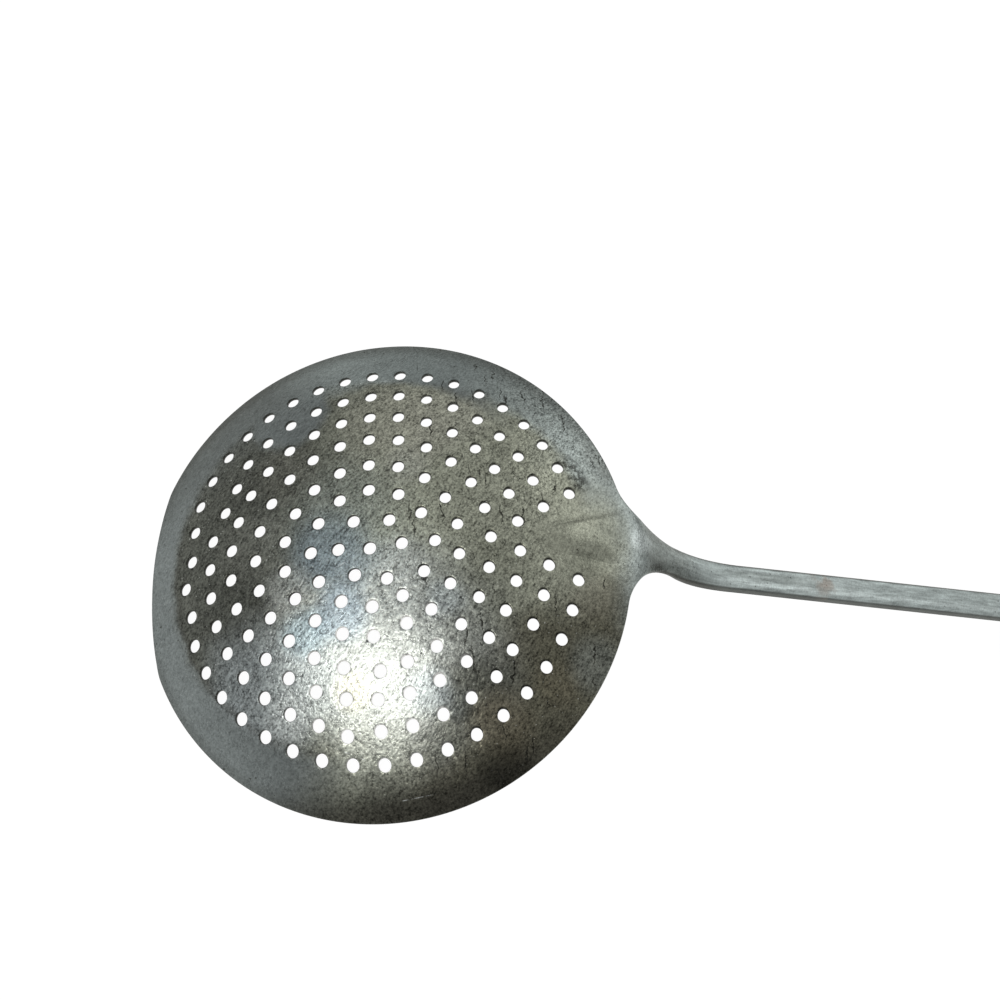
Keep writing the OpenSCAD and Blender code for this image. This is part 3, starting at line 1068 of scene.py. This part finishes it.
# Painted highlight: a bright spot on the web just past the bowl's edge.
colour = dab((63, -1), 4, 0.5, tone(204, 212, 210))
colour = dab((71, 0), 9, 0.2, tone(112, 116, 110))
# Painted shade on the front side of the web and neck.
front_side_shade = paint.both(paint.rise(wander(at_y, 0.8, mottle), -2.0, 4.5), paint.rise(at_x, 62, 66))
front_side_shade = paint.both(front_side_shade, paint.rise(at_x, 92, 76))
colour = paint.blend(paint.both(front_side_shade, 0.75), colour, tone(66, 69, 65))
# Painted shade along the back edge of the web and neck.
back_edge_shade = paint.both(paint.rise(wander(at_y, 0.5, mottle), -1.2, -3.4), paint.rise(at_x, 62, 66))
back_edge_shade = paint.both(back_edge_shade, paint.rise(at_x, 90, 74))
colour = paint.blend(paint.both(back_edge_shade, 0.4), colour, tone(96, 100, 96))

# Painted shade down the middle of the bar near the neck.
middle = paint.rise(paint.math("ABSOLUTE", wander(paint.line(at_y, 1.0, 0.5), 0.6)), 2.2, 0.6)
middle = paint.both(middle, paint.rise(from_spot(103, 0), 22, 8))
colour = paint.blend(paint.both(middle, 0.4), colour, tone(126, 132, 128))
# Painted highlight along the bar, a little to the front of its middle.
bar_ridge_highlight = paint.rise(paint.math("ABSOLUTE", wander(paint.line(at_y, 1.0, -1.8), 0.4)), 1.3, 0.3)
bar_ridge_highlight = paint.both(bar_ridge_highlight, paint.rise(at_x, 84, 92))
colour = paint.blend(paint.both(bar_ridge_highlight, 0.42), colour, tone(216, 226, 224))

# %% [markdown]
# ## The finish: painted shade on sides, hole walls and the rib's foot
#
# The round edges, the sides of the bar, the walls of the drain holes and the foot of the rib are darkened with
# painted shade. The direction of the surface finds the edges and sides, the attribute finds the holes.

# %% Painted shade on sides, hole walls and the rib's foot
facing = paint.node("ShaderNodeNewGeometry", {}).outputs["Normal"]
facing = paint.node("ShaderNodeSeparateXYZ", {0: facing})
# Painted shade on steep faces and faces turned sideways, and on the bar's faces turned down.
steep = paint.rise(paint.math("ABSOLUTE", facing.outputs[2]), 0.60, 0.10)
sideways = paint.math("MAXIMUM", paint.rise(facing.outputs[1], 0.3, 0.8), paint.rise(facing.outputs[1], -0.6, -0.9))
steep = paint.math("MAXIMUM", paint.both(steep, 0.6), paint.both(sideways, 0.85))
downward = paint.both(paint.rise(facing.outputs[2], 0.25, -0.05), paint.rise(facing.outputs[2], -0.95, -0.70))
steep = paint.math("MAXIMUM", steep, paint.both(paint.both(downward, bar), 0.9))
# Rubbed, cleaner metal round the spot where the lamp's highlight lies; it also places the painted highlight in the hole
# walls.
rubbed_highlight_spot = paint.rise(from_spot(1, 29), 25, 8)
inside_hole = paint.node("ShaderNodeAttribute", {}, attribute_name="hole_wall_mask").outputs["Fac"]
# Painted shade in the walls of the drain holes, left out where the highlight lies.
hole_wall_shade = paint.both(inside_hole, paint.line(rubbed_highlight_spot, -1.0, 1.0))

rib_half = paint.math("MULTIPLY", paint.math("SUBTRACT", at_x, rib_x0), (rib_w - rib_tip_w) / 2 / rib_l)
rib_half = paint.math("ADD", rib_half, rib_tip_w / 2)
behind_rib = paint.math("SUBTRACT", paint.math("MULTIPLY", at_y, -1.0), rib_half)
# Painted shade along the foot of the rib at its back, and across its outer end.
foot = paint.rise(paint.math("ABSOLUTE", wander(behind_rib, 0.5, mottle)), 1.1, 0.1)
foot = paint.both(foot, paint.both(paint.rise(at_x, 38, 50), paint.rise(at_x, 59.5, 58)))
rib_end = paint.rise(paint.math("ABSOLUTE", paint.math("SUBTRACT", wander(at_x, 0.5, mottle), 58.6)), 1.0, 0.1)
rib_end = paint.both(rib_end, paint.both(paint.rise(at_y, -8.5, -7), paint.rise(at_y, -2, -5)))
foot = paint.math("MAXIMUM", foot, paint.both(rib_end, 0.6))

# All the painted shade goes into the colour here: sides, hole walls and the rib's foot.
painted_shade = paint.math("MAXIMUM", steep, paint.both(hole_wall_shade, 0.95))
painted_shade = paint.math("MAXIMUM", painted_shade, paint.both(paint.both(foot, blotches), 0.65))
colour = paint.blend(painted_shade, colour, tone(38, 38, 34))
# Painted highlight: in that spot the walls of the holes are painted nearly white.
colour = paint.blend(paint.both(inside_hole, rubbed_highlight_spot), colour, tone(245, 245, 240))

# %% [markdown]
# ## The finish: marks
#
# Pits are dark dots, one in a cell of a Voronoi pattern, and a cell keeps its dot only if its random colour says so.
# Hair cracks are thin wavy dots of a second Voronoi pattern, stretched so that they run mostly across the handle's
# line, and kept in most cells on the handle's side of the field. A few scratches and stains are put where the photo has
# them.

# %% Pits, specks, glints and hair cracks
quiet = paint.math("MAXIMUM", paint.both(band, 0.58), paint.both(rubbed_highlight_spot, 0.25))
quiet = paint.math("MAXIMUM", quiet, paint.both(bar, 0.75))
quiet = paint.math("MAXIMUM", quiet, paint.both(paint.rise(from_spot(56, 0), 22, 12), 0.45))
swing = paint.math("SUBTRACT", 1.0, quiet)

pit_cells = paint.node("ShaderNodeTexVoronoi", {"Vector": level, "Scale": 1 / 1.35})
pit_chance = paint.node("ShaderNodeSeparateXYZ", {0: pit_cells.outputs["Color"]})
pit_size = paint.line(pit_chance.outputs[1], 0.16, 0.06)
pit_keep = paint.math("GREATER_THAN", pit_chance.outputs[0], paint.line(root, -0.08, 0.86))
pit_shape = paint.math("SUBTRACT", pit_size, wander(pit_cells.outputs["Distance"], 0.05, sand))
pits = paint.both(paint.rise(pit_shape, -0.02, 0.06), pit_keep)

specks = paint.node("ShaderNodeTexVoronoi", {"Vector": level, "Scale": 1 / 0.75})
speck_chance = paint.node("ShaderNodeSeparateXYZ", {0: specks.outputs["Color"]})
speck_shape = paint.math("SUBTRACT", paint.line(speck_chance.outputs[1], 0.14, 0.05), specks.outputs["Distance"])
speck_dots = paint.rise(speck_shape, -0.03, 0.04)
specks = paint.both(speck_dots, paint.math("GREATER_THAN", speck_chance.outputs[0], 0.86))
# Glints are painted highlights: pale specks from the same cells as the dark specks.
glints = paint.both(speck_dots, paint.math("LESS_THAN", speck_chance.outputs[0], 0.38))

crack_x = wander(wander(at_x, 0.7, paint.grain(level, 1.2, detail=3)), 2.0, blotches)
crack_place = paint.node("ShaderNodeCombineXYZ", {0: crack_x, 1: paint.both(at_y, 0.065), 2: 0.0}).outputs[0]
crack_cells = paint.node("ShaderNodeTexVoronoi", {"Vector": crack_place, "Scale": 1 / 1.9}, voronoi_dimensions="2D")
crack_chance = paint.node("ShaderNodeSeparateXYZ", {0: crack_cells.outputs["Color"]})
crack_size = paint.line(crack_chance.outputs[1], 0.07, 0.05)
crack_shape = paint.math("SUBTRACT", crack_size, crack_cells.outputs["Distance"])
crack_keep = paint.both(paint.rise(at_x, -6, 14), paint.rise(at_x, 58, 54))
crack_keep = paint.both(crack_keep, paint.rise(from_spot(52, -1), 7, 10))
crack_keep = paint.both(crack_keep, paint.math("GREATER_THAN", crack_chance.outputs[0], 0.38))
cracks = paint.both(paint.rise(crack_shape, 0.0, 0.03), crack_keep)


# %% Single scratches and stains
def stroke(start, end, wide):
    """Mask of a straight scratch between two places on the bowl."""
    run = Vector((end[0] - start[0], end[1] - start[1], 0.0))
    offset = paint.node("ShaderNodeVectorMath", {0: flat_place, 1: (*start, 0.0)}, operation="SUBTRACT").outputs[0]
    share = paint.node("ShaderNodeVectorMath", {0: offset, 1: run / run.length_squared}, operation="DOT_PRODUCT")
    share = paint.math("MINIMUM", paint.math("MAXIMUM", share.outputs["Value"], 0.0), 1.0)
    nearest = paint.node("ShaderNodeVectorMath", {0: tuple(run), "Scale": share}, operation="SCALE").outputs[0]
    apart = paint.node("ShaderNodeVectorMath", {0: offset, 1: nearest}, operation="DISTANCE").outputs["Value"]
    return paint.rise(apart, wide, wide * 0.3)


scratches = stroke((-11.6, 5.8), (-4.6, 2.9), 0.14)
for start, end in (((-10.2, 5.2), (-5.0, 3.4)), ((-9.5, 43.8), (-3.4, 46.5)), ((4.0, 55.4), (11.6, 54.4))):
    scratches = paint.math("MAXIMUM", scratches, stroke(start, end, 0.11))
scratches = paint.both(scratches, paint.rise(mottle, 0.42, 0.58))

stain = stroke((46.5, -19.5), (49.0, -14.5), 3.4)
for start, end in (((65.2, 4.7), (67.4, 3.7)), ((66.4, 4.9), (69.0, 4.1))):
    stain = paint.math("MAXIMUM", stain, stroke(start, end, 0.9))
stain = paint.both(stain, paint.rise(paint.math("ADD", mottle, paint.both(sand, 0.7)), 0.79, 0.93))

marks = paint.math("MAXIMUM", paint.both(pits, 0.7), paint.both(cracks, 0.9))
marks = paint.math("MAXIMUM", marks, paint.both(specks, paint.line(bar, -0.3, 0.45)))
marks = paint.math("MAXIMUM", marks, paint.both(stain, 0.85))
marks = paint.both(marks, paint.line(rubbed_highlight_spot, -0.6, 1.0))
colour = paint.blend(marks, colour, tone(40, 40, 36))
rust = paint.both(paint.rise(wander(from_spot(121, -1.5), 3), 6, 1), paint.rise(blotches, 0.45, 0.6))
colour = paint.blend(paint.both(rust, 0.5), colour, tone(150, 128, 112))
# Painted glints: pale specks, strongest where the field isn't quiet, none on the dark front edge.
glints = paint.both(glints, paint.line(front_edge_shade, -1.0, 1.0))
glint_share = paint.math("ADD", paint.line(swing, 0.50, -0.12), paint.both(opposite, 0.12))
colour = paint.blend(paint.both(glints, glint_share), colour, tone(222, 225, 220))
colour = paint.blend(paint.both(scratches, 0.5), colour, tone(225, 230, 230))

# %% Mottling over everything
shares = [(mottle, 1.2), (sand, 2.7), (blotches, 0.9), (streaks, 2.3)]
speckle = -sum(share for source, share in shares) / 2
for source, share in shares:
    speckle = paint.math("ADD", speckle, paint.both(source, share))
speckle = paint.both(speckle, swing)
speckle = paint.math("ADD", speckle, paint.both(paint.line(brushed, 1.8, -0.9), paint.rise(at_x, 60, 72)))
gain = paint.math("ADD", speckle, 1.0)
gain = paint.math("MINIMUM", paint.math("MAXIMUM", gain, 0.25), 1.7)
colour = paint.node("ShaderNodeVectorMath", {0: colour, "Scale": gain}, operation="SCALE").outputs[0]

# %% [markdown]
# ## The finish: relief and gloss
#
# The metal is bare but dulled, so it is fully metallic with a middling roughness. The relief is the same grain that
# colours it, plus the pits and cracks as small hollows. The pale, rubbed metal of the handle is the dullest.

# %% Height of the relief, roughness and the shader
sand_h = 0.030
mottle_h = 0.10
blotch_h = 0.14
streak_h = 0.07
relief = paint.math("ADD", paint.both(sand, sand_h), paint.both(mottle, mottle_h))
relief = paint.math("ADD", relief, paint.both(blotches, blotch_h))
relief = paint.both(relief, swing)
relief = paint.math("ADD", relief, paint.both(streaks, streak_h))
relief = paint.math("SUBTRACT", relief, paint.both(marks, 0.06))
bump = paint.node("ShaderNodeBump", {"Height": relief, "Distance": MM, "Strength": 1.0})
roughness = paint.math("ADD", paint.both(mottle, 0.16), 0.20)
roughness = paint.math("ADD", roughness, paint.both(bar, 0.14))

shader = paint.node("ShaderNodeBsdfPrincipled", {
    "Base Color": colour, "Roughness": roughness, "Normal": bump.outputs[0], "Metallic": 1.0,
    "Specular Tint": (0.68, 0.68, 0.66, 1)})
output = paint.node("ShaderNodeOutputMaterial", {"Surface": shader.outputs[0]})

for piece in finished:
    piece.data.materials.clear()
    piece.data.materials.append(paint.material)
print("finish:", len(paint.tree.nodes), "nodes on", len(finished), "pieces")

# %% [markdown]
# ## The floor
#
# A plain white floor. To the camera, and in the metal's reflections, it is mostly its own white, so that the drain
# holes read as white spots. The rest of it takes light like paper, which keeps a faint shadow under the bowl.

# %% White floor that keeps the shadow
floor_drop = 0.0002
floor_size = 6
own_white = 0.96
paper_white = 0.10

bpy.ops.object.select_all(action="DESELECT")
bpy.ops.mesh.primitive_plane_add(size=floor_size, location=(0, 0, -floor_drop))
floor = bpy.context.object
floor.name = "floor"

ground = Brush("white_floor")
paper = ground.node("ShaderNodeBsdfDiffuse", {"Color": (paper_white, paper_white, paper_white, 1)})
glow = ground.node("ShaderNodeEmission", {"Color": (1, 1, 1, 1), "Strength": own_white})
seen = ground.node("ShaderNodeAddShader", {0: paper.outputs[0], 1: glow.outputs[0]})
plain = ground.node("ShaderNodeBsdfDiffuse", {"Color": (0.8, 0.8, 0.8, 1)})
ray = ground.node("ShaderNodeLightPath", {})
direct = ground.math("MAXIMUM", ray.outputs["Is Camera Ray"], ray.outputs["Is Glossy Ray"])
direct = ground.math("MAXIMUM", direct, ray.outputs["Is Transmission Ray"])
mixed = ground.node("ShaderNodeMixShader", {0: direct, 1: plain.outputs[0], 2: seen.outputs[0]})
ground.node("ShaderNodeOutputMaterial", {"Surface": mixed.outputs[0]})
floor.data.materials.append(ground.material)

# %% [markdown]
# ## Light
#
# Soft light from the room all round, a wide panel behind the handle, and two smaller lamps to the front left whose
# images lie on the bowl as the broad highlight and the bluish gleam above it. A lamp is placed along the direction
# in which the bowl mirrors it to the camera.

# %% Room light and lamps
room_light = 0.55
bowl_middle = Vector((-0.131, 0, 0.036))


def lamp(name, direction, distance, wide, high, brightness, colour):
    """An oval soft lamp. Brightness is that of its face, where 1 is white paper in full light."""
    data = bpy.data.lights.new(name, "AREA")
    data.shape = "ELLIPSE"
    data.size = wide
    data.size_y = high
    data.color = colour
    data.energy = brightness * math.pi * math.pi * wide * high / 4
    made = bpy.data.objects.new(name, data)
    bpy.context.scene.collection.objects.link(made)
    direction = Vector(direction).normalized()
    made.location = bowl_middle + direction * distance
    made.rotation_euler = direction.to_track_quat("Z", "Y").to_euler()
    made.visible_camera = False
    return made


lamp("key", (-0.616, -0.320, 0.715), 0.8, 0.48, 0.37, 5.0, (1.0, 0.97, 0.93))
lamp("gleam", (-0.678, 0.304, 0.669), 0.9, 0.35, 0.25, 1.4, (0.86, 0.94, 1.0))
lamp("panel", (0.55, 0.45, 0.62), 1.1, 0.9, 0.9, 0.8, (1.0, 1.0, 1.0))

world = bpy.data.worlds.new("room")
bpy.context.scene.world = world
world.use_nodes = True
world.node_tree.nodes["Background"].inputs["Color"].default_value = (1, 1, 1, 1)
world.node_tree.nodes["Background"].inputs["Strength"].default_value = room_light

# %% [markdown]
# ## Camera
#
# The photo was taken from close by, above and a little in front of the bowl, with the camera rolled. Its place, the
# spot on the table that it aims at and the roll were fitted to the bowl's outline and to the centres of the holes.

# %% Camera at the photo's view
camera_place = Vector((-0.18191, -0.06160, 0.23109))
camera_aim = Vector((-0.08030, 0.02931, 0))
camera_roll = math.radians(48.786)
camera_lens = 32.4

camera_data = bpy.data.cameras.new("camera")
camera_data.lens = camera_lens
camera_data.sensor_width = 36
camera_data.clip_start = 0.01
camera = bpy.data.objects.new("camera", camera_data)
bpy.context.scene.collection.objects.link(camera)
view_line = camera_aim - camera_place
level_view = view_line.to_track_quat("-Z", "Y").to_matrix().to_4x4()
camera.matrix_world = (
    Matrix.Translation(camera_place) @ level_view @ Matrix.Rotation(camera_roll, 4, "Z")
)
bpy.context.scene.camera = camera
bpy.context.scene.view_settings.view_transform = "Standard"
